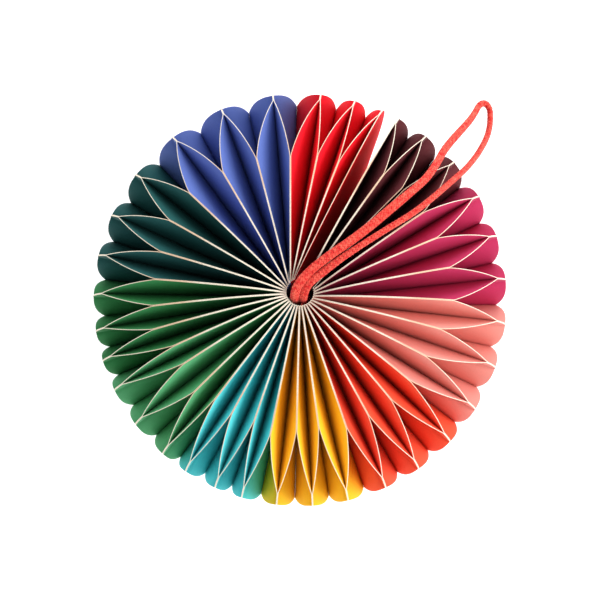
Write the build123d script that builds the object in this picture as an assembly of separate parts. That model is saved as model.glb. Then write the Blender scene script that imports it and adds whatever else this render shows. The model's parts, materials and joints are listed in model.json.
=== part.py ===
"""Hanging heart of folded card: 33 heart-shaped sheets, each folded on its middle line.

The folds stand side by side in a ring, which is the spine, and the two half-heart leaves of each sheet
fan out from it. Neighbouring sheets are glued back to back along the top and the lower flank. The two
leaves of one sheet are glued to each other at the rim. So each leaf swings from one glue line to the
next, and the fan opens into round cells. A cord runs through the spine to a knot at the lower tip.

Millimetres and degrees. The origin is where the cord leaves the spine, +Z is up along the spine, and
angles run clockwise from +Y as seen from above.
"""

import math
import os

from build123d import *

# Sheets
card_thickness = 0.17
glue_film = 0.02            # between two glued faces
ring_start = 28.0           # angle at which the ring of folds begins
sheets_before_cord = 2      # first sheets of the ring, up to where the cord parts it
cord_gap = 1.28             # left open there
closing_gap = 2.85          # left open in the ring between the last sheet and the first

# Half-heart outline, heights measured from the cleft
rim_radius = 50.0           # from the spine axis to the widest point
lobe_radius = 15.0          # from the spine axis to the top of the lobe
lobe_rise = 4.0             # top of the lobe above the cleft
belly_drop = 28.5           # widest point below the cleft
flank_round = 22.0          # radius below the widest point
flank_angle = 42.0          # straight flank to the spine axis
tip_width = 0.8             # flat left at the lower tip, outside the fold

# Glue lines, heights measured from the widest point
rim_glue_above = 13.0       # end of the rim glue, towards the top
rim_glue_below = 0.2        # end of the rim glue, towards the tip
flank_glue_below = 9.0      # start of the back-to-back glue on the flank
upper_bow = 0.1             # how much a leaf bows on its way between the top and the rim glue

# Fan, clockwise from the gap. For each of the three sheets of a colour: how far it is pulled open at the top,
# how far its rim tip leans from the middle of that, and how far out the top glue reaches to the next sheet.
# Last, how far apart the two leaves stand inside the folds of that colour.
fan_start = 28.6            # angle of the first leaf
fan_families = (
    ("maroon", (6.6, 9.1, 11.9), (-3.0, -1.8, -1.6), (34, 34, 34.5), 0.22),
    ("magenta", (11.4, 12.4, 12.5), (-1.5, -1.3, -1.4), (34.5, 35.5, 36), 0.16),
    ("salmon", (11.8, 12.4, 12.0), (-1.2, -1.0, -0.4), (34, 33, 33), 0.2),
    ("orange", (10.9, 11.3, 10.1), (-0.5, -0.1, -0.3), (33, 33, 33.5), 0.23),
    ("yellow", (11.1, 9.3, 10.4), (0.1, -0.2, -0.1), (32, 32.5, 34), 0.18),
    ("turquoise", (7.7, 9.8, 9.0), (0.7, -0.2, -0.3), (32, 32.5, 32), 0.2),
    ("light_green", (8.3, 11.7, 8.5), (-1.0, 0.1, 1.1), (34, 32, 32), 0.2),
    ("dark_green", (9.1, 9.0, 10.5), (1.0, 0.4, 0.6), (35.5, 34.5, 34), 0.04),
    ("teal", (11.2, 12.9, 13.2), (0.9, 0.6, 0.7), (34, 35, 35), 0.05),
    ("blue", (15.6, 14.9, 14.2), (1.1, 1.6, 2.1), (33.5, 33, 32), 0.2),
    ("red", (11.4, 9.3, 5.8), (2.8, 2.2, 2.7), (32.5, 32, 34), 0.06),
)
contact_drop = 25.0         # where the last leaf comes nearest to the first, below the widest point
contact_gap = 0.1

# Flat steps along the outline of a leaf
lobe_steps = 5
upper_steps = 3
rim_steps = 2
lower_steps = 4
round_steps = 2
closing_flank_steps = 4

# Cord: knitted, doubled into a hanging loop, both ends knotted below the tip
cord_width = 2.3
cord_sides = 8
knot_width = 8.6
knot_height = 7.0
knot_flat = 6.2             # flat top of the knot, under the folds
knot_side = 3.4             # upright side of the knot, between its slopes
knot_seat = 0.05            # between the knot and the folds that rest on it
cord_route = (
    (-1.4, -0.7, -47.0), (-1.6, -0.5, -24.0), (-1.4, -0.8, -11.0), (-1.6, -0.8, -4.5), (-1.5, -0.4, 1.0),
    (-0.7, 1.4, 4.4), (2.0, 5.0, 5.9), (6.4, 8.8, 5.6), (11.4, 12.5, 5.6), (16.0, 15.9, 5.8),
    (20.2, 19.6, 5.0), (25.0, 23.2, 2.4), (29.2, 26.8, -1.1), (32.2, 30.2, -5.8), (34.6, 34.4, -12.2),
    (37.2, 38.4, -18.4), (40.4, 42.6, -24.4), (42.0, 45.5, -28.2), (43.0, 47.5, -30.6), (44.3, 47.7, -32.2),
    (45.8, 46.6, -33.1), (46.7, 44.7, -33.1), (46.8, 42.5, -31.9), (46.1, 39.7, -29.6), (44.4, 36.7, -25.4),
    (42.0, 33.7, -20.2), (38.8, 30.4, -13.4), (35.2, 26.8, -6.4), (31.0, 22.8, -0.4), (25.8, 18.4, 3.1),
    (20.2, 14.6, 5.1), (14.6, 11.0, 5.7), (9.2, 7.0, 5.6), (4.8, 3.4, 5.2), (2.2, 1.2, 3.2),
    (1.5, 0.3, -1.0), (1.6, 0.2, -6.0), (1.4, 0.5, -13.0), (1.6, 0.6, -26.0), (1.4, 0.4, -48.0),
)

# Worked out from the above
ring_length = cord_gap + closing_gap
for _, openings, _, _, fold_gap in fan_families:
    ring_length += len(openings) * (2 * card_thickness + fold_gap + glue_film)
spine_radius = ring_length / (2 * math.pi)
shoulder_height = lobe_rise + belly_drop
round_angle = 90 - flank_angle
round_end_radius = rim_radius - flank_round * (1 - math.cos(math.radians(round_angle)))
round_end_height = -belly_drop - flank_round * math.sin(math.radians(round_angle))
tip_radius = spine_radius + tip_width
tip_height = round_end_height - (round_end_radius - tip_radius) / math.tan(math.radians(flank_angle))
rim_glue_top = -belly_drop + rim_glue_above
rim_glue_bottom = -belly_drop - rim_glue_below
flank_glue_top = -belly_drop - flank_glue_below
contact_height = -belly_drop - contact_drop


def polar(radius, angle, height):
    """Point at a distance from the spine axis, at an angle clockwise from +Y."""
    turn = math.radians(angle)
    return Vector(radius * math.sin(turn), radius * math.cos(turn), height)


def outline_radius(height):
    """Distance of the cut edge from the spine axis, from the lobe's outer side down to the tip."""
    if height >= -belly_drop:
        share = (height + belly_drop) / shoulder_height
        return lobe_radius + (rim_radius - lobe_radius) * math.sqrt(1 - share**2)
    if height >= round_end_height:
        drop = -belly_drop - height
        return rim_radius - flank_round + math.sqrt(flank_round**2 - drop**2)
    return round_end_radius - (round_end_height - height) * math.tan(math.radians(flank_angle))


split_radius = outline_radius(0)
inner_tip_radius = outline_radius(rim_glue_top)


def shoulder_level(radius):
    """Height of the cut edge at a distance from the spine axis, between the lobe's top and the widest point."""
    share = (radius - lobe_radius) / (rim_radius - lobe_radius)
    return -belly_drop + shoulder_height * math.sqrt(1 - share**2)


def lobe_outline():
    """Radius and height along the lobe, from the cleft over its top to the level of the cleft again."""
    inner_run = lobe_radius - spine_radius
    inner_round = (inner_run**2 + lobe_rise**2) / (2 * lobe_rise)
    points = []
    for step in range(1, lobe_steps + 1):
        radius = spine_radius + inner_run * step / lobe_steps
        height = lobe_rise - inner_round + math.sqrt(inner_round**2 - (lobe_radius - radius)**2)
        points.append((radius, height))
    for step in range(1, lobe_steps):
        radius = lobe_radius + (split_radius - lobe_radius) * step / lobe_steps
        points.append((radius, shoulder_level(radius)))
    return points


def levels(glue_reaches, flank_steps):
    """Heights of the cuts through a leaf, from the cleft down to the tip, with one where each top glue ends."""
    radii = sorted(set(glue_reaches))
    last = radii[-1]
    radii += [last + (inner_tip_radius - last) * step / upper_steps for step in range(1, upper_steps)]
    heights = [0] + [shoulder_level(radius) for radius in radii] + [rim_glue_top]
    heights += [rim_glue_top + (rim_glue_bottom - rim_glue_top) * step / rim_steps for step in range(1, rim_steps + 1)]
    arc_drop = rim_glue_bottom - flank_glue_top
    heights += [rim_glue_bottom - arc_drop * (step / lower_steps) ** 2 for step in range(1, lower_steps + 1)]
    for top, bottom, steps in (
        (flank_glue_top, round_end_height, round_steps),
        (round_end_height, tip_height, flank_steps),
    ):
        heights += [top + (bottom - top) * step / steps for step in range(1, steps + 1)]
    return heights


def swing(height, glue_reach):
    """Share of the way from the rim glue, 0, to the back-to-back glue, 1: straight above, a round arc below."""
    if height >= rim_glue_top:
        way = (inner_tip_radius - outline_radius(height)) / (inner_tip_radius - glue_reach)
        way = min(way, 1)
        return way * (1 + upper_bow * (1 - way))
    way = (rim_glue_bottom - height) / (rim_glue_bottom - flank_glue_top)
    return math.sqrt(min(max(way, 0), 1))


def closing_lean(height, most):
    """Angle by which the last leaf leans across the gap, greatest where it comes nearest to the first."""
    if height >= contact_height:
        return most * (height / contact_height) ** 2
    below = (contact_height - height) / (contact_height - tip_height)
    return most * (1 - below**2)


def angle_on_line(start, through, radius):
    """Angle at which the line from one point through another reaches a distance from the axis."""
    way = (through - start).normalized()
    along = start.dot(way)
    reach = -along + math.sqrt(max(along**2 - start.dot(start) + radius**2, 0))
    point = start + way * reach
    return math.degrees(math.atan2(point.X, point.Y))


def nearest_turn(angle, near):
    """The same direction, written within half a turn of another angle."""
    return near + (angle - near + 180) % 360 - 180


def arc_angle(width, radius):
    """Angle that a width takes up at a distance from the axis."""
    return math.degrees(width / radius)


class Sheet:
    """One folded sheet: where its fold stands in the spine and where its glue lines lie."""

    def __init__(self, fold, fold_gap, tip, left, right, glue_reach):
        self.fold = fold
        self.fold_gap = fold_gap
        self.fold_half = card_thickness + fold_gap / 2
        self.tip = tip
        self.tops = {-1: left, 1: right}
        self.flanks = {-1: left, 1: right}
        self.glue_reaches = {-1: glue_reach, 1: glue_reach}
        self.lean = 0

    def fold_corner(self, side):
        """Angle of the outer face of a leaf where it leaves the fold."""
        return self.fold + side * arc_angle(self.fold_half, spine_radius)

    def crease(self, side):
        """Angle of the inner face of a leaf where it leaves the fold."""
        return self.fold + side * arc_angle(self.fold_gap / 2, spine_radius)

    def levels(self):
        """Heights of the cuts through the sheet."""
        return levels(self.glue_reaches.values(), closing_flank_steps if self.lean else 1)

    def leaf_angles(self, side, height, radius):
        """Angles of the outer and the inner face of a leaf at a height and a distance from the axis."""
        lean = closing_lean(height, self.lean) if self.lean else 0
        own_lean = lean if side == 1 else 0
        borders = self.tops if height >= rim_glue_top else self.flanks
        border = borders[side] + own_lean
        start = polar(spine_radius, self.fold_corner(side), 0)
        at_border = angle_on_line(start, polar(rim_radius, border, 0), radius)
        at_border = nearest_turn(at_border, self.fold) - side * arc_angle(glue_film / 2, radius)
        start = polar(spine_radius, self.fold, 0)
        at_tip = angle_on_line(start, polar(rim_radius, self.tip + lean, 0), radius)
        at_tip = nearest_turn(at_tip, self.fold) + side * arc_angle(glue_film / 2 + card_thickness, radius)
        outer = at_tip + (at_border - at_tip) * swing(height, self.glue_reaches[side])
        return outer, outer - side * arc_angle(card_thickness, radius)


def flat_faces(corners):
    """One face where the corners lie in a plane, or else two triangles."""
    first, second, third, fourth = corners
    normal = (second - first).cross(third - first)
    if abs(normal.dot(fourth - first)) < 1e-7 * normal.length:
        return [Face(Wire.make_polygon(corners))]
    return [Face(Wire.make_polygon([first, second, third])), Face(Wire.make_polygon([first, third, fourth]))]


def ribbon(one_edge, other_edge):
    """Flat faces between two rows of points. Both faces of a leaf name the fold first, so that they crease alike."""
    faces = []
    for step in range(len(one_edge) - 1):
        faces += flat_faces([one_edge[step], one_edge[step + 1], other_edge[step + 1], other_edge[step]])
    return faces


def leaf_faces(sheet, side, heights):
    """Both faces and the cut edge of one half-heart leaf, without its lobe, and the rows of its corners."""
    outer_fold = [polar(spine_radius, sheet.fold_corner(side), height) for height in heights]
    inner_fold = [polar(spine_radius, sheet.crease(side), height) for height in heights]
    outer_edge = []
    inner_edge = []
    for height in heights:
        radius = outline_radius(height)
        outer, inner = sheet.leaf_angles(side, height, radius)
        outer_edge.append(polar(radius, outer, height))
        inner_edge.append(polar(radius, inner, height))
    faces = ribbon(outer_fold, outer_edge) + ribbon(outer_edge, inner_edge) + ribbon(inner_fold, inner_edge)
    return faces, outer_fold, outer_edge, inner_edge, inner_fold


def point_on_line(start, end, radius):
    """Point of a level line where it reaches a distance from the axis."""
    way = (end - start).normalized()
    flat_start = Vector(start.X, start.Y, 0)
    along = flat_start.dot(way)
    return start + way * (-along + math.sqrt(along**2 - flat_start.dot(flat_start) + radius**2))


def lobe_faces(outer_start, outer_end, inner_end, inner_start):
    """Faces of the lobe of one leaf, which stands straight up on the leaf's top line."""
    outer_row = [outer_start]
    inner_row = [inner_start]
    for radius, height in lobe_outline():
        rise = Vector(0, 0, height)
        outer_row.append(point_on_line(outer_start, outer_end, radius) + rise)
        inner_row.append(point_on_line(inner_start, inner_end, radius) + rise)
    outer_row.append(outer_end)
    inner_row.append(inner_end)
    sides = [Face(Wire.make_polygon(outer_row)), Face(Wire.make_polygon(inner_row))]
    return sides + ribbon(outer_row, inner_row)


def fold_back(sheet, height):
    """Points around the back of the fold, between the outer faces of the two leaves."""
    centre = polar(spine_radius, sheet.fold, height)
    inward = -polar(1, sheet.fold, 0)
    across = polar(1, sheet.fold + 90, 0)
    points = []
    for turn in (-45, 0, 45):
        bend = math.radians(turn)
        points.append(centre + (inward * math.cos(bend) + across * math.sin(bend)) * sheet.fold_half)
    return points


def folded_sheet(sheet):
    """One folded sheet as a single solid."""
    heights = sheet.levels()
    left, left_fold, left_edge, left_inner, left_crease = leaf_faces(sheet, -1, heights)
    right, right_fold, right_edge, right_inner, right_crease = leaf_faces(sheet, 1, heights)
    faces = left + right
    faces += lobe_faces(left_fold[0], left_edge[0], left_inner[0], left_crease[0])
    faces += lobe_faces(right_fold[0], right_edge[0], right_inner[0], right_crease[0])
    faces.append(Face(Wire.make_polygon(left_crease + right_crease[::-1])))
    top = fold_back(sheet, heights[0])
    bottom = fold_back(sheet, heights[-1])
    faces.append(Face(Wire.make_polygon(left_fold + [bottom[0], top[0]])))
    faces.append(Face(Wire.make_polygon([top[0], bottom[0], bottom[1], top[1]])))
    faces.append(Face(Wire.make_polygon([top[1], bottom[1], bottom[2], top[2]])))
    faces.append(Face(Wire.make_polygon(right_fold + [bottom[2], top[2]])))
    faces.append(Face(Wire.make_polygon([left_fold[0], *top, right_fold[0], right_crease[0], left_crease[0]])))
    tip = [left_fold[-1], *bottom, right_fold[-1], right_edge[-1], right_inner[-1], right_crease[-1]]
    faces.append(Face(Wire.make_polygon(tip + [left_crease[-1], left_inner[-1], left_edge[-1]])))
    return Solid(Shell(faces))


def end_cover(first_sheet):
    """Single flat half-heart leaf that covers the outer face of the first sheet."""
    heights = first_sheet.levels()
    fold_shift = arc_angle(glue_film, spine_radius)
    inner_turn = first_sheet.fold_corner(-1) - fold_shift
    outer_turn = inner_turn - arc_angle(card_thickness, spine_radius)
    rows = {"inner": [], "outer": []}
    for height in heights:
        radius = outline_radius(height)
        against, _ = first_sheet.leaf_angles(-1, height, radius)
        inner = against - arc_angle(glue_film, radius)
        rows["inner"].append(polar(radius, inner, height))
        rows["outer"].append(polar(radius, inner - arc_angle(card_thickness, radius), height))
    inner_fold = [polar(spine_radius, inner_turn, height) for height in heights]
    outer_fold = [polar(spine_radius, outer_turn, height) for height in heights]
    faces = ribbon(outer_fold, rows["outer"]) + ribbon(rows["outer"], rows["inner"])
    faces += ribbon(inner_fold, rows["inner"]) + ribbon(inner_fold, outer_fold)
    faces += lobe_faces(outer_fold[0], rows["outer"][0], rows["inner"][0], inner_fold[0])
    tip = [outer_fold[-1], rows["outer"][-1], rows["inner"][-1], inner_fold[-1]]
    faces.append(Face(Wire.make_polygon(tip)))
    return Solid(Shell(faces))


def fan_of_sheets():
    """Name and place of every sheet, clockwise from the gap."""
    gap = 360 - sum(sum(openings) for _, openings, _, _, _ in fan_families)
    end_leaf = arc_angle(card_thickness + glue_film, rim_radius)
    names = []
    sheets = []
    border = fan_start
    ring_place = 0
    for colour, openings, leans, glue_reaches, fold_gap in fan_families:
        slot_width = 2 * card_thickness + fold_gap + glue_film
        for number, (width, lean, glue_reach) in enumerate(zip(openings, leans, glue_reaches), 1):
            fold = ring_start + arc_angle(ring_place + slot_width / 2, spine_radius)
            names.append(f"{colour}_sheet_{number}")
            sheets.append(Sheet(fold, fold_gap, border + width / 2 + lean, border, border + width, glue_reach))
            border += width
            ring_place += slot_width
            if len(sheets) == sheets_before_cord:
                ring_place += cord_gap
    sheets[0].tip = fan_start + end_leaf
    sheets[-1].tip = border - end_leaf
    contact_radius = outline_radius(contact_height)
    sheets[-1].lean = gap - arc_angle(card_thickness + glue_film + contact_gap, contact_radius)
    for one, other in zip(sheets, sheets[1:]):
        one.flanks[1] = other.flanks[-1] = (one.tip + other.tip) / 2
        other.glue_reaches[-1] = one.glue_reaches[1]
    return list(zip(names, sheets))


def hanging_cord():
    """Tube along the cord: up through the spine, round the hanging loop and down again."""
    knot_top = tip_height - knot_seat
    route = [Vector(*point) for point in cord_route]
    route.insert(0, Vector(route[0].X, route[0].Y, knot_top))
    route.append(Vector(route[-1].X, route[-1].Y, knot_top))
    radii = []
    for before, corner, after in zip(route, route[1:], route[2:]):
        shorter = min((corner - before).length, (after - corner).length)
        turn = (corner - before).get_angle(after - corner)
        radii.append(0.45 * shorter / math.tan(math.radians(turn / 2)))
    path = FilletPolyline(*route, radius=radii)
    section = Plane(origin=path @ 0, z_dir=path % 0) * RegularPolygon(cord_width / 2, cord_sides)
    tube = sweep(section, path=path)
    full = section.area * path.length
    print("cord radii", [round(radius, 1) for radius in radii])
    print("cord length", round(path.length, 1), "volume against section times length", tube.volume / full)
    return tube


def cord_knot():
    """Round knot under the tip, flat where the folds rest on it."""
    half = knot_height / 2
    middle = tip_height - knot_seat - half
    profile = [(0, half), (knot_flat / 2, half), (knot_width / 2, knot_side / 2)]
    profile += [(radius, -height) for radius, height in reversed(profile)]
    with BuildPart() as knot:
        with BuildSketch(Plane.XZ):
            with BuildLine():
                Polyline(*[(radius, middle + height) for radius, height in profile], close=True)
            make_face()
        revolve(axis=Axis.Z)
    return knot.part


os.makedirs("parts", exist_ok=True)
fan = fan_of_sheets()
for sheet_name, sheet_place in fan:
    export_step(folded_sheet(sheet_place), f"parts/{sheet_name}.step")
export_step(end_cover(fan[0][1]), "parts/red_end_cover.step")
export_step(hanging_cord(), "parts/hanging_cord.step")
export_step(cord_knot(), "parts/cord_knot.step")
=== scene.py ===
"""Hanging heart of folded card.

33 coloured sheets stand round a hollow spine, with a cover leaf, a knitted cord and the cord's knot.
"""

import json
import math

import bmesh
import bpy
import numpy as np
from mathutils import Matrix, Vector

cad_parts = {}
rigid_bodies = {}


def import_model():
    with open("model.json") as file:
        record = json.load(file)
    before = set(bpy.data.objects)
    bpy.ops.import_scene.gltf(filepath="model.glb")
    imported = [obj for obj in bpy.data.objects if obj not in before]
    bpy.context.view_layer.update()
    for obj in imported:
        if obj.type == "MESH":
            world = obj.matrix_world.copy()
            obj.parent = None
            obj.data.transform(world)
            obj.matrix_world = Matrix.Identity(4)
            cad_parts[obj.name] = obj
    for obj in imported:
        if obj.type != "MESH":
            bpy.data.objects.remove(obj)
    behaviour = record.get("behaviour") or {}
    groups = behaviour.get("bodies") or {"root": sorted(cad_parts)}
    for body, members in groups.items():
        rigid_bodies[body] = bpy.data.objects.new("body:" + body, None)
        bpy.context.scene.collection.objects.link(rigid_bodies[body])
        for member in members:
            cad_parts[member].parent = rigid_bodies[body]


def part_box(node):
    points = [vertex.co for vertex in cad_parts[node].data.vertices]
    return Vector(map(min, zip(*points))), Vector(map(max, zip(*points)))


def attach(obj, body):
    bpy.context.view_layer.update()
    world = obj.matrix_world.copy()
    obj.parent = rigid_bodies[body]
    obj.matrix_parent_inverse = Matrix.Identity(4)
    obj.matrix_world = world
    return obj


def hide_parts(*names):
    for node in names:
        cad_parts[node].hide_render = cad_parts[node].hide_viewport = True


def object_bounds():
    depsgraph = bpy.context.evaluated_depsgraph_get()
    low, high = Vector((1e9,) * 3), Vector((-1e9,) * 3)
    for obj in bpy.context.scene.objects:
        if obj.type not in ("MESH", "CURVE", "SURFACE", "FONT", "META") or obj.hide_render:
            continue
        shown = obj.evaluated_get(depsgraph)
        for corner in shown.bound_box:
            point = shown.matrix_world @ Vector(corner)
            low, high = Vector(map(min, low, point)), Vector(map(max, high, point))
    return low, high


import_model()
cad_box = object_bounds()


# Dyed card
# The heart is made of thick card, dyed on both faces before it is cut, so its cut edges show the cream core.
# Eleven colours follow each other round the fan like a wheel. The cut edges carry a band of painted shade in
# brown.
card_colours = {
    "maroon": (0.125, 0.020, 0.026),
    "magenta": (0.52, 0.030, 0.115),
    "salmon": (0.80, 0.325, 0.275),
    "orange": (0.84, 0.105, 0.045),
    "yellow": (0.95, 0.56, 0.022),
    "turquoise": (0.10, 0.64, 0.67),
    "light_green": (0.115, 0.44, 0.20),
    "dark_green": (0.036, 0.24, 0.075),
    "teal": (0.011, 0.092, 0.090),
    "blue": (0.100, 0.155, 0.45),
    "red": (0.80, 0.006, 0.020),
}
dye_spread = (0.93, 1.07)
fibre_lift = 1.12
core_colour = (0.85, 0.755, 0.61)
core_spread = (0.82, 1.08)
speck_span = (0.35, 0.65)
# Painted shade: a brown band on the cut edges, strongest at one distance from the spine axis and fading on
# either side
edge_shade_brown = (0.69, 0.40, 0.22)
shade_band_radius = 0.0308
shade_band_strength = 0.6
shade_band_fade = (0.0035, 0.0080)
# Scale and detail of the noise in the dye, the fibres and the core
cloud_grain = (130, 3)
fibre_grain = (2600, 6)
speck_grain = (3400, 3)
tooth_strength = 0.2
tooth_depth = 0.00003
card_roughness = 0.75
card_gloss = 0.3


def set_inputs(tree, node, inputs):
    """Give a node's inputs, by name or number, their values or links from other nodes' outputs."""
    for name, value in inputs.items():
        if isinstance(value, bpy.types.NodeSocket):
            tree.links.new(value, node.inputs[name])
        else:
            node.inputs[name].default_value = value


def new_node(tree, kind, inputs=None, **settings):
    """A node of a tree, with its own settings and inputs."""
    node = tree.nodes.new(kind)
    for setting, value in settings.items():
        setattr(node, setting, value)
    set_inputs(tree, node, inputs or {})
    return node


def new_finish(name):
    """A new material, with its tree, its shader and the coordinates of the piece that wears it."""
    material = bpy.data.materials.new(name)
    material.use_nodes = True
    tree = material.node_tree
    place = new_node(tree, "ShaderNodeTexCoord").outputs["Object"]
    return material, tree, tree.nodes["Principled BSDF"], place


def surface_noise(tree, place, grain):
    """Noise of one scale and detail on a piece's own coordinates."""
    scale, detail = grain
    noise = new_node(tree, "ShaderNodeTexNoise", {"Vector": place, "Scale": scale, "Detail": detail})
    return noise.outputs["Fac"]


def stretched(tree, value, span, ends=(0, 1)):
    """A value whose span is drawn out to new ends."""
    inputs = {"Value": value, "From Min": span[0], "From Max": span[1], "To Min": ends[0], "To Max": ends[1]}
    return new_node(tree, "ShaderNodeMapRange", inputs).outputs["Result"]


def blend_colours(tree, share, first, second):
    """Mix of two colours, each a colour or another node's output."""
    # The mix node has many inputs called A and B, so its colours are named by number
    first, second = ((*colour, 1) if isinstance(colour, tuple) else colour for colour in (first, second))
    mix = new_node(tree, "ShaderNodeMix", {"Factor": share, 6: first, 7: second}, data_type="RGBA")
    return mix.outputs[2]


def shades(colour, amounts):
    """The same colour, once for each amount of darkening or lightening."""
    return [tuple(min(part * amount, 1) for part in colour) for amount in amounts]


def dyed_card(name, colour):
    """Matte card with cloudy dye and fine fibres, and where it is cut a speckled core with a band of painted
    brown shade.
    """
    material, tree, surface, place = new_finish(f"{name}_card")
    clouds = surface_noise(tree, place, cloud_grain)
    fibres = surface_noise(tree, place, fibre_grain)
    dye = blend_colours(tree, clouds, *shades(colour, dye_spread))
    face = blend_colours(tree, fibres, dye, *shades(colour, (fibre_lift,)))
    specks = stretched(tree, surface_noise(tree, place, speck_grain), speck_span)
    core = blend_colours(tree, specks, *shades(core_colour, core_spread))
    # Painted shade: the cut edges turn brown near one distance from the spine axis, where they face outward
    # away from the light
    level = new_node(tree, "ShaderNodeVectorMath", {0: place, 1: (1, 1, 0)}, operation="MULTIPLY").outputs[0]
    radius = new_node(tree, "ShaderNodeVectorMath", {0: level}, operation="LENGTH").outputs["Value"]
    past_shade_band = new_node(tree, "ShaderNodeMath", {0: radius, 1: shade_band_radius}, operation="SUBTRACT").outputs[0]
    off_shade_band = new_node(tree, "ShaderNodeMath", {0: past_shade_band}, operation="ABSOLUTE").outputs[0]
    painted_shade = stretched(tree, off_shade_band, shade_band_fade, (shade_band_strength, 0))
    edge = blend_colours(tree, painted_shade, core, edge_shade_brown)
    cut = new_node(tree, "ShaderNodeAttribute", attribute_name="cut_edge").outputs["Fac"]
    tooth = {"Strength": tooth_strength, "Distance": tooth_depth, "Height": fibres}
    set_inputs(tree, surface, {
        "Base Color": blend_colours(tree, cut, face, edge),
        "Normal": new_node(tree, "ShaderNodeBump", tooth).outputs["Normal"],
        "Roughness": card_roughness,
        "Specular IOR Level": card_gloss,
    })
    return material


cards = {name: dyed_card(name, colour) for name, colour in card_colours.items()}


# Folded heart sheets
# Each is one heart of card folded on its middle line. The folds stand in a ring, the spine. Neighbours
# are glued back to back at the top and on the flank, and rim glue holds a sheet's two leaves together.
mm_per_metre = 1000
full_turn = 360
card_thickness = 0.00017
glue_film = 0.00002
ring_start = 28
sheets_before_cord = 2
cord_gap = 0.00128
closing_gap = 0.00285
rim_radius = 0.050
lobe_radius = 0.015
lobe_rise = 0.004
belly_drop = 0.0285
flank_round = 0.022
flank_angle = math.radians(42)
tip_width = 0.0008
rim_glue_above = 0.013
rim_glue_below = 0.0002
flank_glue_below = 0.009
upper_bow = 0.1
contact_drop = 0.025
contact_gap = 0.0001
closing_power = 4
fan_start = 28.6
# Colour, then for its three sheets the widths and the leans in degrees and the reach of the top glue in
# mm, and the gap inside their folds in mm
fan_families = (
    ("maroon", (6.6, 9.1, 11.9), (-3.0, -1.8, -1.6), (34, 34, 34.5), 0.22),
    ("magenta", (11.4, 12.4, 12.5), (-1.5, -1.3, -1.4), (34.5, 35.5, 36), 0.16),
    ("salmon", (11.8, 12.4, 12.0), (-1.2, -1.0, -0.4), (34, 33, 33), 0.2),
    ("orange", (10.9, 11.3, 10.1), (-0.5, -0.1, -0.3), (33, 33, 33.5), 0.23),
    ("yellow", (11.1, 9.3, 10.4), (0.1, -0.2, -0.1), (32, 32.5, 34), 0.18),
    ("turquoise", (7.7, 9.8, 9.0), (0.7, -0.2, -0.3), (32, 32.5, 32), 0.2),
    ("light_green", (8.3, 11.7, 8.5), (-1.0, 0.1, 1.1), (34, 32, 32), 0.2),
    ("dark_green", (9.1, 9.0, 10.5), (1.0, 0.4, 0.6), (35.5, 34.5, 34), 0.04),
    ("teal", (11.2, 12.9, 13.2), (0.9, 0.6, 0.7), (34, 35, 35), 0.05),
    ("blue", (15.6, 14.9, 14.2), (1.1, 1.6, 2.1), (33.5, 33, 32), 0.2),
    ("red", (11.4, 9.3, 5.8), (2.8, 2.2, 2.7), (32.5, 32, 34), 0.06),
)
pinch_rate = 7
reach_steps = 14
lobe_rows = 3
bend_steps = 6
upper_steps = 30
rim_steps = 6
swing_steps = 14
flank_steps = 5
tip_steps = 14
fold_inputs = (
    "Fold", "Fold gap", "Tip", "Left top", "Right top", "Left flank", "Right flank",
    "Left glue", "Right glue", "Lean", "Stand off",
)


def fold_width(fold_gap):
    """Room that one fold takes up round the spine."""
    return 2 * card_thickness + fold_gap / mm_per_metre + glue_film


ring_length = cord_gap + closing_gap
for _, widths, _, _, fold_gap in fan_families:
    ring_length += len(widths) * fold_width(fold_gap)
spine_radius = ring_length / (2 * math.pi)
shoulder_height = lobe_rise + belly_drop
round_end_radius = rim_radius - flank_round * (1 - math.sin(flank_angle))
round_end_height = -belly_drop - flank_round * math.cos(flank_angle)
tip_height = round_end_height - (round_end_radius - spine_radius - tip_width) / math.tan(flank_angle)
rim_glue_top = -belly_drop + rim_glue_above
rim_glue_bottom = -belly_drop - rim_glue_below
flank_glue_top = -belly_drop - flank_glue_below
contact_height = -belly_drop - contact_drop


def outline_radius(height):
    """Distance of the cut edge from the spine axis, from the level of the cleft down to the tip."""
    if height >= -belly_drop:
        share = (height + belly_drop) / shoulder_height
        return lobe_radius + (rim_radius - lobe_radius) * math.sqrt(1 - share**2)
    if height >= round_end_height:
        drop = -belly_drop - height
        return rim_radius - flank_round + math.sqrt(flank_round**2 - drop**2)
    return round_end_radius - (round_end_height - height) * math.tan(flank_angle)


split_radius = outline_radius(0)
inner_tip_radius = outline_radius(rim_glue_top)


def lobe_height(radius):
    """Height of the lobe's cut edge above the cleft."""
    if radius <= lobe_radius:
        inner_run = lobe_radius - spine_radius
        inner_round = (inner_run**2 + lobe_rise**2) / (2 * lobe_rise)
        return lobe_rise - inner_round + math.sqrt(inner_round**2 - (lobe_radius - radius) ** 2)
    share = (radius - lobe_radius) / (rim_radius - lobe_radius)
    return -belly_drop + shoulder_height * math.sqrt(1 - share**2)


def flank_opening(height):
    """Share of the way that a leaf has swung, in a round arc, from the rim glue to the flank glue."""
    way = (rim_glue_bottom - height) / (rim_glue_bottom - flank_glue_top)
    return math.sqrt(min(max(way, 0), 1))


def closing(height):
    """Share of the last leaf's lean across the gap, greatest where it comes nearest to the first leaf."""
    if height >= contact_height:
        return (min(height, 0) / contact_height) ** closing_power
    below = (contact_height - height) / (contact_height - tip_height)
    return 1 - below**2


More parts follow.
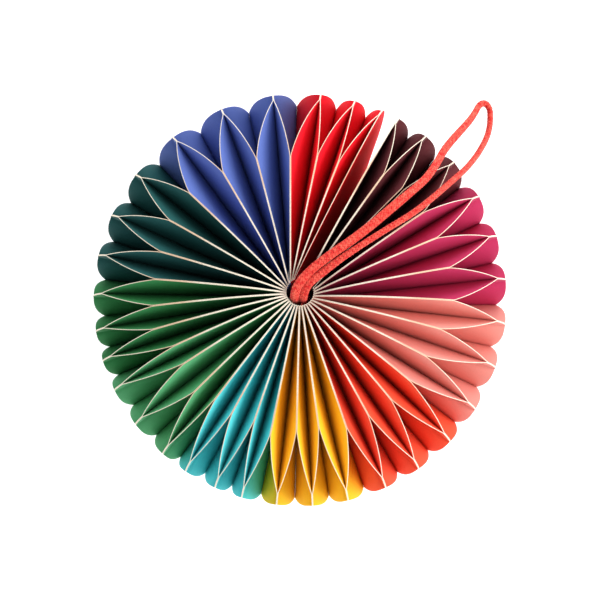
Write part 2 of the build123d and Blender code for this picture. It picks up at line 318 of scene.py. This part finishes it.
def card_levels():
    """Heights of the rows of points down a leaf, closest where it bends."""
    heights = []
    for step in range(upper_steps + 1):
        radius = split_radius + (inner_tip_radius - split_radius) * step / upper_steps
        heights.append(lobe_height(radius))
    heights[0] = 0
    drop = rim_glue_bottom - flank_glue_top
    arc = [rim_glue_bottom - drop * (step / swing_steps) ** 2 for step in range(1, swing_steps)]
    for top, bottom, steps in (
        (rim_glue_top, rim_glue_bottom, rim_steps),
        (flank_glue_top, round_end_height, flank_steps),
        (round_end_height, tip_height, tip_steps),
    ):
        heights += [top + (bottom - top) * step / steps for step in range(1, steps + 1)]
        if bottom == rim_glue_bottom:
            heights += [*arc, flank_glue_top]
    return heights


class FlatCard:
    """Flat cut of card as a thin closed plate. Each point knows where it goes when the card is folded."""

    facts = ("side", "reach", "depth", "edge_radius", "opening", "closing", "on_flank", "bend", "in_fold")

    def __init__(self):
        self.points = []
        self.values = {fact: [] for fact in self.facts}
        self.faces = []
        self.cuts = []

    def point(self, side, reach, depth, height, bend=0, in_fold=0):
        """Number of a new point, which gets all that the fold needs to know of it."""
        level = min(height, 0)
        radius = outline_radius(level)
        across = side * (card_thickness + reach * (radius - spine_radius)) + bend * card_thickness
        self.points.append((across, depth * card_thickness, height))
        on_flank = 1 if level < rim_glue_top else 0
        values = (side, reach, depth, radius, flank_opening(level), closing(level), on_flank, bend, in_fold)
        for fact, value in zip(self.facts, values):
            self.values[fact].append(value)
        return len(self.points) - 1

    def face(self, corners, cut=0):
        """New face, unless its corners fall together."""
        corners = list(dict.fromkeys(corners))
        if len(corners) > 2:
            self.faces.append(corners)
            self.cuts.append(cut)

    def rows(self, one, other, cut=0):
        """Faces between two rows of points."""
        for step in range(len(one) - 1):
            self.face((one[step], one[step + 1], other[step + 1], other[step]), cut)

    def leaf(self, side):
        """Points of both faces of one leaf, rows from the top of the lobe down to the tip."""
        layers = []
        for depth in (0, 1):
            grid = []
            for height in card_levels():
                reaches = [step / reach_steps for step in range(1, reach_steps + 1)]
                row = [self.point(side, reach, depth, height) for reach in reaches]
                grid.append([self.point(side, 0, depth, height), *row])
            for lift in range(1, lobe_rows + 1):
                row = [grid[lift - 1][0]]
                for step in range(1, reach_steps):
                    reach = step / reach_steps
                    radius = spine_radius + reach * (split_radius - spine_radius)
                    row.append(self.point(side, reach, depth, lobe_height(radius) * lift / lobe_rows))
                grid.insert(0, [*row, grid[lift - 1][-1]])
            for upper, lower in zip(grid, grid[1:]):
                self.rows(upper, lower)
            layers.append(grid)
        outer, inner = layers
        self.rows(outer[0], inner[0], 1)
        self.rows([row[-1] for row in outer], [row[-1] for row in inner], 1)
        self.rows(outer[-1], inner[-1], 1)
        return outer, inner

    def mesh(self, name):
        """The plate as a mesh, with smooth faces and sharp cut edges."""
        shape = bmesh.new()
        cut_face = shape.faces.layers.float.new("cut_edge")
        facts = {fact: shape.verts.layers.float.new(fact) for fact in self.facts}
        corners = [shape.verts.new(point) for point in self.points]
        for face, cut in zip(self.faces, self.cuts):
            made = shape.faces.new([corners[corner] for corner in face])
            made[cut_face] = cut
            made.smooth = True
        for place, corner in enumerate(corners):
            for fact, layer in facts.items():
                corner[layer] = self.values[fact][place]
        bmesh.ops.delete(shape, geom=[corner for corner in corners if not corner.link_faces], context="VERTS")
        bmesh.ops.recalc_face_normals(shape, faces=shape.faces)
        for edge in shape.edges:
            edge.smooth = len({face[cut_face] for face in edge.link_faces}) == 1
        mesh = bpy.data.meshes.new(name)
        shape.to_mesh(mesh)
        shape.free()
        return mesh


def flat_sheet():
    """Whole heart, both leaves and the strip between them that bends round the fold."""
    card = FlatCard()
    heights = card_levels()
    bends = []
    for depth, left, right in zip((0, 1), card.leaf(-1), card.leaf(1)):
        strip = [[row[0] for row in left[lobe_rows:]]]
        for step in range(1, bend_steps):
            bend = 2 * step / bend_steps - 1
            strip.append([card.point(0, 0, depth, height, bend, 1) for height in heights])
        strip.append([row[0] for row in right[lobe_rows:]])
        for one, other in zip(strip, strip[1:]):
            card.rows(one, other)
        bends.append(strip)
    for end in (0, -1):
        card.rows([column[end] for column in bends[0]], [column[end] for column in bends[1]], 1)
    return card.mesh("flat_heart_card")


class ShapeTree:
    """Geometry Nodes tree with named sizes and a finish as its inputs, and short words for its sums."""

    def __init__(self, name, sizes, finish):
        self.tree = bpy.data.node_groups.new(name, "GeometryNodeTree")
        sockets = self.tree.interface
        sockets.new_socket("Geometry", in_out="OUTPUT", socket_type="NodeSocketGeometry")
        sockets.new_socket("Geometry", in_out="INPUT", socket_type="NodeSocketGeometry")
        for size in sizes:
            sockets.new_socket(size, in_out="INPUT", socket_type="NodeSocketFloat")
        sockets.new_socket(finish, in_out="INPUT", socket_type="NodeSocketMaterial")
        self.given = self.tree.nodes.new("NodeGroupInput").outputs
        self.finish = self.given[finish]

    def node(self, kind, inputs=None, **settings):
        """New node of this tree."""
        return new_node(self.tree, kind, inputs, **settings)

    def sum_of(self, operation, *values):
        """Number that comes of numbers."""
        return self.node("ShaderNodeMath", dict(enumerate(values)), operation=operation).outputs[0]

    def vector(self, operation, *values):
        """Vector that comes of vectors."""
        node = self.node("ShaderNodeVectorMath", dict(enumerate(values)), operation=operation)
        return node.outputs["Vector"]

    def measure(self, operation, *values):
        """Number that comes of vectors."""
        node = self.node("ShaderNodeVectorMath", dict(enumerate(values)), operation=operation)
        return node.outputs["Value"]

    def scaled(self, way, size):
        """Vector made longer or shorter."""
        node = self.node("ShaderNodeVectorMath", {0: way, "Scale": size}, operation="SCALE")
        return node.outputs["Vector"]

    def parted(self, way):
        """The three parts of a vector."""
        return self.node("ShaderNodeSeparateXYZ", {0: way}).outputs

    def position(self):
        """Where each point is."""
        return self.node("GeometryNodeInputPosition").outputs[0]

    def fact(self, name, kind="FLOAT"):
        """What each point carries under a name."""
        node = self.node("GeometryNodeInputNamedAttribute", {"Name": name}, data_type=kind)
        return node.outputs["Attribute"]

    def finished(self, geometry):
        """The tree, ended with smooth faces and its material."""
        whole = self.node("GeometryNodeRealizeInstances", {0: geometry}).outputs[0]
        smooth = self.node("GeometryNodeSetShadeSmooth", {"Geometry": whole}).outputs[0]
        finished = self.node("GeometryNodeSetMaterial", {"Geometry": smooth, "Material": self.finish})
        self.node("NodeGroupOutput", {0: finished.outputs[0]})
        return self.tree


def folding_tree():
    """Tree that folds a flat card into its place in the fan."""
    shape = ShapeTree("fold_card", fold_inputs, "Card")
    given = shape.given
    sum_of, vector, scaled, fact = shape.sum_of, shape.vector, shape.scaled, shape.fact

    def made(*parts):
        """Vector of three parts."""
        return shape.node("ShaderNodeCombineXYZ", dict(enumerate(parts))).outputs[0]

    def pointing(angle):
        """Unit way out from the axis at an angle in degrees, clockwise from +Y."""
        turn = sum_of("RADIANS", angle)
        return made(sum_of("SINE", turn), sum_of("COSINE", turn), 0.0)

    def clockwise(way):
        """Unit way across, clockwise round the axis."""
        flat = shape.parted(vector("NORMALIZE", way))
        return made(flat["Y"], sum_of("MULTIPLY", flat["X"], -1.0), 0.0)

    def mixed(share, one, other):
        """Point a share of the way from one point to another."""
        return vector("ADD", one, scaled(vector("SUBTRACT", other, one), share))

    def blended(share, one, other):
        """Number a share of the way from one number to another."""
        return sum_of("ADD", one, sum_of("MULTIPLY", share, sum_of("SUBTRACT", other, one)))

    def on_line(start, through, radius):
        """Point at a distance from the axis on the line from one point through another."""
        way = vector("NORMALIZE", vector("SUBTRACT", through, start))
        along = shape.measure("DOT_PRODUCT", start, way)
        beside = shape.measure("DOT_PRODUCT", start, start)
        under = sum_of("SUBTRACT", sum_of("MULTIPLY", along, along), beside)
        root = sum_of("SQRT", sum_of("ADD", under, sum_of("MULTIPLY", radius, radius)))
        return vector("ADD", start, scaled(way, sum_of("SUBTRACT", root, along)))

    def shifted(point, distance):
        """Point moved sideways round the axis."""
        return vector("ADD", point, scaled(clockwise(point), distance))

    # Corner of the fold
    side = fact("side")
    radius = fact("edge_radius")
    inward = sum_of("MULTIPLY", fact("depth"), card_thickness)
    half_gap = sum_of("MULTIPLY", given["Fold gap"], 0.5)
    fold_half = sum_of("ADD", half_gap, card_thickness)
    spine_way = pointing(given["Fold"])
    spine = scaled(spine_way, spine_radius)
    across = clockwise(spine_way)
    corner = vector("ADD", spine, scaled(across, sum_of("MULTIPLY", side, fold_half)))

    # Cut edge, between the neighbour that the leaf is glued to and the other leaf of the sheet
    is_right = sum_of("GREATER_THAN", side, 0.5)
    lean = sum_of("MULTIPLY", given["Lean"], fact("closing"))
    tops = blended(is_right, given["Left top"], given["Right top"])
    flanks = blended(is_right, given["Left flank"], given["Right flank"])
    border = sum_of("ADD", blended(fact("on_flank"), tops, flanks), sum_of("MULTIPLY", lean, is_right))
    at_border = on_line(corner, scaled(pointing(border), rim_radius), radius)
    at_border = shifted(at_border, sum_of("MULTIPLY", side, -glue_film / 2))
    tip_way = pointing(sum_of("ADD", given["Tip"], lean))
    at_tip = on_line(spine, scaled(tip_way, rim_radius), radius)
    at_tip = shifted(at_tip, sum_of("MULTIPLY", side, glue_film / 2 + card_thickness))
    glue_reach = blended(is_right, given["Left glue"], given["Right glue"])
    way = sum_of("DIVIDE", sum_of("SUBTRACT", inner_tip_radius, radius),
                 sum_of("SUBTRACT", inner_tip_radius, glue_reach))
    way = sum_of("MINIMUM", way, 1.0)
    bow = sum_of("MULTIPLY", sum_of("SUBTRACT", 1.0, way), upper_bow)
    top_opening = sum_of("MULTIPLY", way, sum_of("ADD", bow, 1.0))
    swung = blended(fact("on_flank"), top_opening, fact("opening"))
    edge = scaled(vector("NORMALIZE", mixed(swung, at_tip, at_border)), radius)
    off_middle = sum_of("SUBTRACT", given["Stand off"], inward)
    edge = shifted(edge, sum_of("MULTIPLY", side, off_middle))

    # Leaf from the fold to the cut edge, pinched where its sheet is closed
    from_crease = sum_of("MULTIPLY", side, sum_of("ADD", off_middle, fold_half))
    start = vector("ADD", spine, scaled(across, from_crease))
    leaf = mixed(fact("reach"), start, edge)
    closed = sum_of("POWER", sum_of("SUBTRACT", 1.0, swung), 2.0)
    behind_fold = sum_of("MINIMUM", sum_of("MULTIPLY", fact("reach"), pinch_rate), 1.0)
    before_edge = sum_of("SUBTRACT", 1.0, fact("reach"))
    pinch = sum_of("MULTIPLY", sum_of("MULTIPLY", closed, behind_fold), before_edge)
    to_middle = sum_of("MULTIPLY", side, -1.0)
    leaf = shifted(leaf, sum_of("MULTIPLY", sum_of("MULTIPLY", pinch, half_gap), to_middle))

    # Bend round the fold
    turn = sum_of("MULTIPLY", fact("bend"), math.pi / 2)
    back = vector("ADD", scaled(across, sum_of("SINE", turn)),
                  scaled(spine_way, sum_of("MULTIPLY", sum_of("COSINE", turn), -1.0)))
    back = vector("ADD", spine, scaled(back, sum_of("SUBTRACT", fold_half, inward)))
    flat_place = mixed(fact("in_fold"), leaf, back)
    height = shape.parted(shape.position())["Z"]
    folded = vector("ADD", flat_place, made(0.0, 0.0, height))
    placed = shape.node("GeometryNodeSetPosition", {"Geometry": given["Geometry"], "Position": folded})
    return shape.finished(placed.outputs[0])


def plain_mesh(piece, tree, inputs):
    """Run a tree on a piece with its inputs, and keep the result as the piece's own mesh."""
    sockets = {}
    for socket in tree.interface.items_tree:
        if socket.in_out == "INPUT":
            sockets[socket.name] = socket.identifier
    bpy.context.scene.collection.objects.link(piece)
    modifier = piece.modifiers.new(tree.name, "NODES")
    modifier.node_group = tree
    for name, value in inputs.items():
        modifier[sockets[name]] = value
    result = piece.evaluated_get(bpy.context.evaluated_depsgraph_get())
    mesh = bpy.data.meshes.new_from_object(result)
    piece.modifiers.remove(modifier)
    piece.data = mesh
    mesh.name = piece.name


def arc_angle(width, radius):
    """Angle in degrees that a width takes up at a distance from the axis."""
    return math.degrees(width / radius)


heart = flat_sheet()
fold_card = folding_tree()
fan_gap = full_turn - sum(sum(widths) for _, widths, _, _, _ in fan_families)
end_leaf = arc_angle(card_thickness + glue_film, rim_radius)
most_lean = fan_gap - arc_angle(card_thickness + glue_film + contact_gap, outline_radius(contact_height))
sheets = []
border = fan_start
ring_place = 0
for colour, widths, leans, glues, fold_gap in fan_families:
    slot_width = fold_width(fold_gap)
    for number, (width, lean, glue) in enumerate(zip(widths, leans, glues), 1):
        sheets.append({
            "name": f"{colour}_{number}",
            "Fold": ring_start + arc_angle(ring_place + slot_width / 2, spine_radius),
            "Fold gap": fold_gap / mm_per_metre,
            "Tip": border + width / 2 + lean,
            "Left top": border,
            "Right top": border + width,
            "Left flank": border,
            "Right flank": border + width,
            "Left glue": glue / mm_per_metre,
            "Right glue": glue / mm_per_metre,
            "Lean": 0.0,
            "Stand off": 0.0,
            "Card": cards[colour],
        })
        border += width
        ring_place += slot_width
        if len(sheets) == sheets_before_cord:
            ring_place += cord_gap
sheets[0]["Tip"] = fan_start + end_leaf
sheets[-1]["Tip"] = border - end_leaf
sheets[-1]["Lean"] = most_lean
for one, other in zip(sheets, sheets[1:]):
    one["Right flank"] = other["Left flank"] = (one["Tip"] + other["Tip"]) / 2
    other["Left glue"] = one["Right glue"]
for places in sheets:
    colour, _, number = places.pop("name").rpartition("_")
    sheet = bpy.data.objects.new(f"{colour}_folded_heart_{number}", heart)
    plain_mesh(sheet, fold_card, places)
    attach(sheet, "root")
    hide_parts(f"{colour}_sheet_{number}")


# Cover leaf
# A single half-heart of red card with no fold, cut to the same outline. It is glued flat on the free face
# of the first maroon sheet, where the fan begins.
cover_card = FlatCard()
cover_outer, cover_inner = cover_card.leaf(-1)
cover_card.rows([row[0] for row in cover_outer], [row[0] for row in cover_inner], 1)
cover = bpy.data.objects.new("red_cover_leaf", cover_card.mesh("flat_cover_card"))
cover_places = {**sheets[0], "Stand off": card_thickness + glue_film, "Card": cards["red"]}
plain_mesh(cover, fold_card, cover_places)
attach(cover, "root")
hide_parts("red_end_cover")


# Hanging cord
# One length of knitted cotton cord, soft and rather flat, that twists on its way. It comes up through the
# spine, lies over the fan as a long loop past the rim, and goes down the spine again to the knot.
cord_width = 0.0021
cord_depth = 0.0013
cord_route = (
    (-0.0006, -0.0007, -0.0878), (-0.0006, -0.0007, -0.0470), (-0.0007, -0.0005, -0.0240),
    (-0.0010, -0.0016, -0.0110), (-0.0013, -0.0019, -0.0045), (-0.0013, -0.0012, 0.0010),
    (-0.0008, 0.0012, 0.0032), (0.0022, 0.0047, 0.0036), (0.0068, 0.0082, 0.0047),
    (0.0120, 0.0117, 0.0051), (0.0165, 0.0152, 0.0045), (0.0207, 0.0189, 0.0031),
    (0.0253, 0.0229, 0.0005), (0.0294, 0.0266, -0.0033), (0.0320, 0.0305, -0.0080),
    (0.0343, 0.0348, -0.0138), (0.0372, 0.0385, -0.0194), (0.0406, 0.0425, -0.0249),
    (0.0425, 0.0453, -0.0286), (0.0437, 0.0477, -0.0308), (0.0452, 0.0482, -0.0322),
    (0.0464, 0.0470, -0.0331), (0.0465, 0.0448, -0.0331), (0.0463, 0.0425, -0.0319),
    (0.0456, 0.0399, -0.0296), (0.0442, 0.0370, -0.0258), (0.0421, 0.0336, -0.0210),
    (0.0392, 0.0300, -0.0150), (0.0355, 0.0265, -0.0088), (0.0313, 0.0225, -0.0028),
    (0.0261, 0.0181, 0.0016), (0.0203, 0.0145, 0.0041), (0.0147, 0.0109, 0.0052),
    (0.0090, 0.0072, 0.0049), (0.0045, 0.0038, 0.0036), (0.0016, 0.0016, 0.0030),
    (0.0006, -0.0012, 0.0008), (0.0006, -0.0019, -0.0050), (0.0008, -0.0014, -0.0120),
    (0.0014, 0.0004, -0.0250), (0.0015, 0.0004, -0.0480), (0.0015, 0.0004, -0.0878),
)
# Share of the way along the cord, and the turn of its flat side there in degrees
cord_turns = ((0, 0), (0.34, 0), (0.37, 42), (0.45, 46), (0.50, 80), (0.62, 88), (0.69, 74), (0.715, 45),
              (0.75, 5), (1, 0))
cord_steps = 14
steady_lean = 0.5
ring_radius = 0.001
tube_sides = 20
tube_share = 0.80
wales = 8
stitch_row = 0.00085
stitch_slant = math.radians(24)
stitched_above = -0.006
stitch_share = 0.88
leg_spread = 0.24
leg_size = (0.00017, 0.00017, 0.00056)
leg_sides = 6
leg_rings = 5
fibre_length = 0.0007
fibre_radius = 0.000022
fibre_taper = 4
fibre_sides = 3
fibres_per_area = 700000
fibre_seed = 5
most_tilt = (1.1, 1.1, 3.1)
tilt_seed = 8
cord_colour = (0.70, 0.022, 0.022)
pale_yarn = (0.92, 0.16, 0.105)
yarn_grain = (1300, 3)
yarn_span = (0.35, 0.7)
fuzz_grain = (6000, 4)
fuzz_strength = 0.4
fuzz_depth = 0.00005
cotton_roughness = 0.9
cotton_gloss = 0.2
cotton_sheen = 0.2
sheen_roughness = 0.4


def smooth_line(name, points, steps):
    """Points along the smooth spline that a route steers."""
    curve = bpy.data.curves.new(name, "CURVE")
    curve.dimensions = "3D"
    spline = curve.splines.new("NURBS")
    spline.points.add(len(points) - 1)
    for control, point in zip(spline.points, points):
        control.co = (*point, 1)
    spline.order_u = 3
    spline.use_endpoint_u = True
    curve.resolution_u = steps
    line = bpy.data.objects.new(name, curve)
    mesh = bpy.data.meshes.new_from_object(line)
    bpy.data.objects.remove(line)
    return mesh


def flat_sides(mesh, turns):
    """Give each point of a line its flat side's way across and its other way, turned about the line."""
    points = np.array([vertex.co for vertex in mesh.vertices])
    steps = np.linalg.norm(np.diff(points, axis=0), axis=1)
    share = np.concatenate([[0], np.cumsum(steps)]) / steps.sum()
    angles = np.radians(np.interp(share, *zip(*turns)))
    ways = np.gradient(points, axis=0)
    ways /= np.linalg.norm(ways, axis=1)[:, None]
    level = np.cross(ways, (0, 0, 1))
    wide = []
    before = np.array((1.0, 0, 0))
    for way, flat in zip(ways, level):
        steady = min(np.linalg.norm(flat) / steady_lean, 1)
        flat = flat if flat @ before > 0 else -flat
        aim = before - way * (before @ way) + steady * flat
        before = aim / np.linalg.norm(aim)
        wide.append(before)
    wide = np.array(wide)
    thick = np.cross(ways, wide)
    cosine = np.cos(angles)[:, None]
    sine = np.sin(angles)[:, None]
    for name, side in (("wide", wide * cosine + thick * sine), ("thick", thick * cosine - wide * sine)):
        mesh.attributes.new(name, "FLOAT_VECTOR", "POINT").data.foreach_set("vector", side.ravel())
    return [tuple(point) for point in points]


def knitting_tree():
    """Tree that knits a cord along a line: a soft tube with stray fibres under rows of slanted stitches."""
    shape = ShapeTree("knit_cord", ("Width", "Depth", "Stitched above"), "Cotton")
    given = shape.given
    sum_of, vector, scaled, fact = shape.sum_of, shape.vector, shape.scaled, shape.fact

    def stored(geometry, name, kind, value):
        """Geometry whose points carry a value under a name."""
        inputs = {"Geometry": geometry, "Name": name, "Value": value}
        node = shape.node("GeometryNodeStoreNamedAttribute", inputs, data_type=kind, domain="POINT")
        return node.outputs[0]

    def with_ahead(line):
        """Line whose points carry the way that it runs."""
        return stored(line, "ahead", "FLOAT_VECTOR", shape.node("GeometryNodeInputTangent").outputs[0])

    def across(angle, share):
        """Offset from the cord's middle to its surface at an angle round it, or a share of that."""
        wide = sum_of("MULTIPLY", sum_of("MULTIPLY", given["Width"], share / 2), sum_of("COSINE", angle))
        deep = sum_of("MULTIPLY", sum_of("MULTIPLY", given["Depth"], share / 2), sum_of("SINE", angle))
        wide = scaled(fact("wide", "FLOAT_VECTOR"), wide)
        deep = scaled(fact("thick", "FLOAT_VECTOR"), deep)
        return vector("ADD", wide, deep)

    def on_points(points, mesh, rotation, **sizes):
        """One copy of a mesh on each point."""
        inputs = {"Points": points, "Instance": mesh, "Rotation": rotation, **sizes}
        return shape.node("GeometryNodeInstanceOnPoints", inputs).outputs[0]

    # Soft tube, whose ring may have any radius at first
    position = shape.position()
    line = shape.node("GeometryNodeMeshToCurve", {0: given["Geometry"]}).outputs[0]
    line = with_ahead(stored(line, "middle", "FLOAT_VECTOR", position))
    ring_inputs = {"Resolution": tube_sides, "Radius": ring_radius}
    ring = shape.node("GeometryNodeCurvePrimitiveCircle", ring_inputs, mode="RADIUS").outputs[0]
    share = shape.node("GeometryNodeSplineParameter").outputs["Factor"]
    ring = stored(ring, "around", "FLOAT", sum_of("MULTIPLY", share, 2 * math.pi))
    tube = shape.node("GeometryNodeCurveToMesh", {"Curve": line, "Profile Curve": ring, "Fill Caps": True})
    place = vector("ADD", fact("middle", "FLOAT_VECTOR"), across(fact("around"), tube_share))
    soft = shape.node("GeometryNodeSetPosition", {"Geometry": tube.outputs[0], "Position": place}).outputs[0]

    # Stitches, two slanted legs to each, but none deep inside the spine
    rows = shape.node("GeometryNodeResampleCurve", {"Curve": line, "Length": stitch_row}, mode="LENGTH")
    rows = with_ahead(rows.outputs[0])
    spots = shape.node("GeometryNodeCurveToPoints", {"Curve": rows}, mode="EVALUATED").outputs["Points"]
    near = shape.measure("LENGTH", vector("MULTIPLY", position, (1.0, 1.0, 0.0)))
    below = sum_of("LESS_THAN", shape.parted(position)["Z"], given["Stitched above"])
    hidden = sum_of("MULTIPLY", below, sum_of("LESS_THAN", near, spine_radius))
    spots = shape.node("GeometryNodeDeleteGeometry", {"Geometry": spots, "Selection": hidden}).outputs[0]
    leg_inputs = {"Geometry": spots, "Amount": 2 * wales}
    legs = shape.node("GeometryNodeDuplicateElements", leg_inputs, domain="POINT").outputs
    leg_number = legs["Duplicate Index"]
    slant = sum_of("SUBTRACT", sum_of("MULTIPLY", sum_of("MODULO", leg_number, 2.0), 2.0), 1.0)
    wale = sum_of("FLOOR", sum_of("DIVIDE", leg_number, 2.0))
    wale = sum_of("ADD", wale, sum_of("MULTIPLY", slant, leg_spread))
    spots = stored(legs["Geometry"], "angle", "FLOAT", sum_of("MULTIPLY", wale, 2 * math.pi / wales))
    spots = stored(spots, "slant", "FLOAT", slant)
    outward = across(fact("angle"), stitch_share)
    spots = shape.node("GeometryNodeSetPosition", {"Geometry": spots, "Offset": outward}).outputs[0]
    sideways = vector("NORMALIZE", across(sum_of("ADD", fact("angle"), math.pi / 2), 1.0))
    lean = sum_of("MULTIPLY", fact("slant"), math.tan(stitch_slant))
    along = vector("ADD", fact("ahead", "FLOAT_VECTOR"), scaled(sideways, lean))
    turned = shape.node("FunctionNodeAlignRotationToVector", {"Vector": along}, axis="Z", pivot_axis="AUTO")
    face_inputs = {"Rotation": turned.outputs[0], "Vector": across(fact("angle"), 1.0)}
    faced = shape.node("FunctionNodeAlignRotationToVector", face_inputs, axis="X", pivot_axis="Z")
    bead_inputs = {"Segments": leg_sides, "Rings": leg_rings, "Radius": 1.0}
    leg = shape.node("GeometryNodeMeshUVSphere", bead_inputs).outputs["Mesh"]
    knit = on_points(spots, leg, faced.outputs[0], Scale=leg_size)

    # Stray fibres
    root_inputs = {"Mesh": soft, "Density": fibres_per_area, "Seed": fibre_seed}
    roots = shape.node("GeometryNodeDistributePointsOnFaces", root_inputs, distribute_method="RANDOM").outputs
    fibre_inputs = {"Vertices": fibre_sides, "Radius Top": fibre_radius / fibre_taper,
                    "Radius Bottom": fibre_radius, "Depth": fibre_length}
    fibre = shape.node("GeometryNodeMeshCone", fibre_inputs).outputs["Mesh"]
    tilt_inputs = {"Min": tuple(-turn for turn in most_tilt), "Max": most_tilt, "Seed": tilt_seed}
    tilt = shape.node("FunctionNodeRandomValue", tilt_inputs, data_type="FLOAT_VECTOR").outputs[0]
    stray_inputs = {"Rotation": roots["Rotation"], "Rotate By": tilt}
    stray = shape.node("FunctionNodeRotateRotation", stray_inputs, rotation_space="LOCAL").outputs[0]
    fuzz = on_points(roots["Points"], fibre, stray)

    whole = shape.node("GeometryNodeJoinGeometry")
    for part in (soft, fuzz, knit):
        shape.tree.links.new(part, whole.inputs[0])
    return shape.finished(whole.outputs[0])


def knitted_cotton():
    """Coral red cotton yarn, fuzzy and a little uneven in its dye."""
    material, tree, surface, place = new_finish("coral_cotton")
    yarn = stretched(tree, surface_noise(tree, place, yarn_grain), yarn_span)
    fibres = surface_noise(tree, place, fuzz_grain)
    fuzz = {"Strength": fuzz_strength, "Distance": fuzz_depth, "Height": fibres}
    set_inputs(tree, surface, {
        "Base Color": blend_colours(tree, yarn, cord_colour, pale_yarn),
        "Normal": new_node(tree, "ShaderNodeBump", fuzz).outputs["Normal"],
        "Roughness": cotton_roughness,
        "Specular IOR Level": cotton_gloss,
        "Sheen Weight": cotton_sheen,
        "Sheen Roughness": sheen_roughness,
    })
    return material


def knitted(name, line, depth):
    """Piece of knitted cord along a line, as wide as the cord and of its own depth."""
    piece = bpy.data.objects.new(name, line)
    inputs = {"Width": cord_width, "Depth": depth, "Stitched above": stitched_above, "Cotton": cotton}
    plain_mesh(piece, knit_cord, inputs)
    return piece


cotton = knitted_cotton()
knit_cord = knitting_tree()
cord_line = smooth_line("cord_line", cord_route, cord_steps)
cord_path = flat_sides(cord_line, cord_turns)
cord = knitted("knitted_cord", cord_line, cord_depth)
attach(cord, "root")
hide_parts("hanging_cord")


# Knot
# Both ends of the cord tied together in one overhand knot, pulled up tight under the lower tip, so that the
# folds rest on it when the heart hangs.
knot_rounds = 2
knot_loops = 3
knot_corners = 24
knot_steps = 10
knot_low, knot_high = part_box("cord_knot")
knot_middle = (knot_low + knot_high) / 2
knot_reach = (knot_high.x - knot_low.x) / 2 - cord_width / 2
knot_rise = (knot_high.z - knot_low.z) / 2 - cord_width / 2
knot_points = []
for corner in range(knot_corners + 1):
    turn = 2 * math.pi * corner / knot_corners
    out = knot_reach * (2 + math.cos(knot_loops * turn)) / 3
    around = knot_rounds * turn
    way = Vector((out * math.cos(around), out * math.sin(around), knot_rise * math.sin(knot_loops * turn)))
    knot_points.append(tuple(knot_middle + way))
knot_line = smooth_line("knot_line", knot_points, knot_steps)
flat_sides(knot_line, ((0, 0), (1, 0)))
knot = knitted("overhand_knot", knot_line, cord_width)
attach(knot, "root")
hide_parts("cord_knot")


# Floor, light and camera
# A white table under the heart, soft light from all round that is brightest low down, one window to the
# right and a lower one at the far side, and a long lens that looks almost straight down on the fan.
floor_reach = 2.0
floor_clearance = 0.0005
floor_white = (0.95, 0.95, 0.95, 1)
floor_roughness = 0.9
floor_glow = 0.35
pure_white = (1, 1, 1, 1)
horizon_light = 1.5
zenith_light = 0.45
# Size in metres, power in watts and place of each window
windows = {
    "window": (0.6, 8, (0.72, -0.10, 0.66)),
    "far_window": (0.8, 5, (0.10, 0.95, 0.22)),
}
view_distance = 0.700
view_width = 0.1452
view_tilt = math.radians(3.3)
view_middle = Vector((-0.00003, -0.00022, -belly_drop))
film_width = 36
nearest_seen = 0.01
farthest_seen = 20

stage = bpy.context.scene.collection.objects
floor_height = cad_box[0].z - floor_clearance
floor_corners = ((-floor_reach, -floor_reach), (floor_reach, -floor_reach),
                 (floor_reach, floor_reach), (-floor_reach, floor_reach))
floor_mesh = bpy.data.meshes.new("floor")
floor_mesh.from_pydata([(*corner, floor_height) for corner in floor_corners], [], [(0, 1, 2, 3)])
floor = bpy.data.objects.new("floor", floor_mesh)
stage.link(floor)
table = bpy.data.materials.new("white_table")
table.use_nodes = True
set_inputs(table.node_tree, table.node_tree.nodes["Principled BSDF"], {
    "Base Color": floor_white,
    "Roughness": floor_roughness,
    "Emission Color": pure_white,
    "Emission Strength": floor_glow,
})
floor_mesh.materials.append(table)

world = bpy.data.worlds.new("soft_room")
bpy.context.scene.world = world
world.use_nodes = True
room = world.node_tree
way = new_node(room, "ShaderNodeTexCoord").outputs["Generated"]
upward = new_node(room, "ShaderNodeSeparateXYZ", {0: way}).outputs["Z"]
brightness = stretched(room, upward, (0, 1), (horizon_light, zenith_light))
set_inputs(room, room.nodes["Background"], {"Strength": brightness, "Color": pure_white})

for name, (size, power, place) in windows.items():
    light = bpy.data.lights.new(name, "AREA")
    light.shape = "SQUARE"
    light.size = size
    light.energy = power
    window = bpy.data.objects.new(name, light)
    window.location = place
    window.rotation_euler = window.location.to_track_quat("Z", "Y").to_euler()
    stage.link(window)

camera_data = bpy.data.cameras.new("camera")
camera_data.sensor_width = film_width
camera_data.lens = camera_data.sensor_width * view_distance / view_width
camera_data.clip_start = nearest_seen
camera_data.clip_end = farthest_seen
camera = bpy.data.objects.new("camera", camera_data)
camera.location = view_middle + view_distance * Vector((0, -math.sin(view_tilt), math.cos(view_tilt)))
camera.rotation_euler = (view_tilt, 0, 0)
stage.link(camera)
bpy.context.scene.camera = camera
bpy.context.scene.view_settings.view_transform = "Standard"
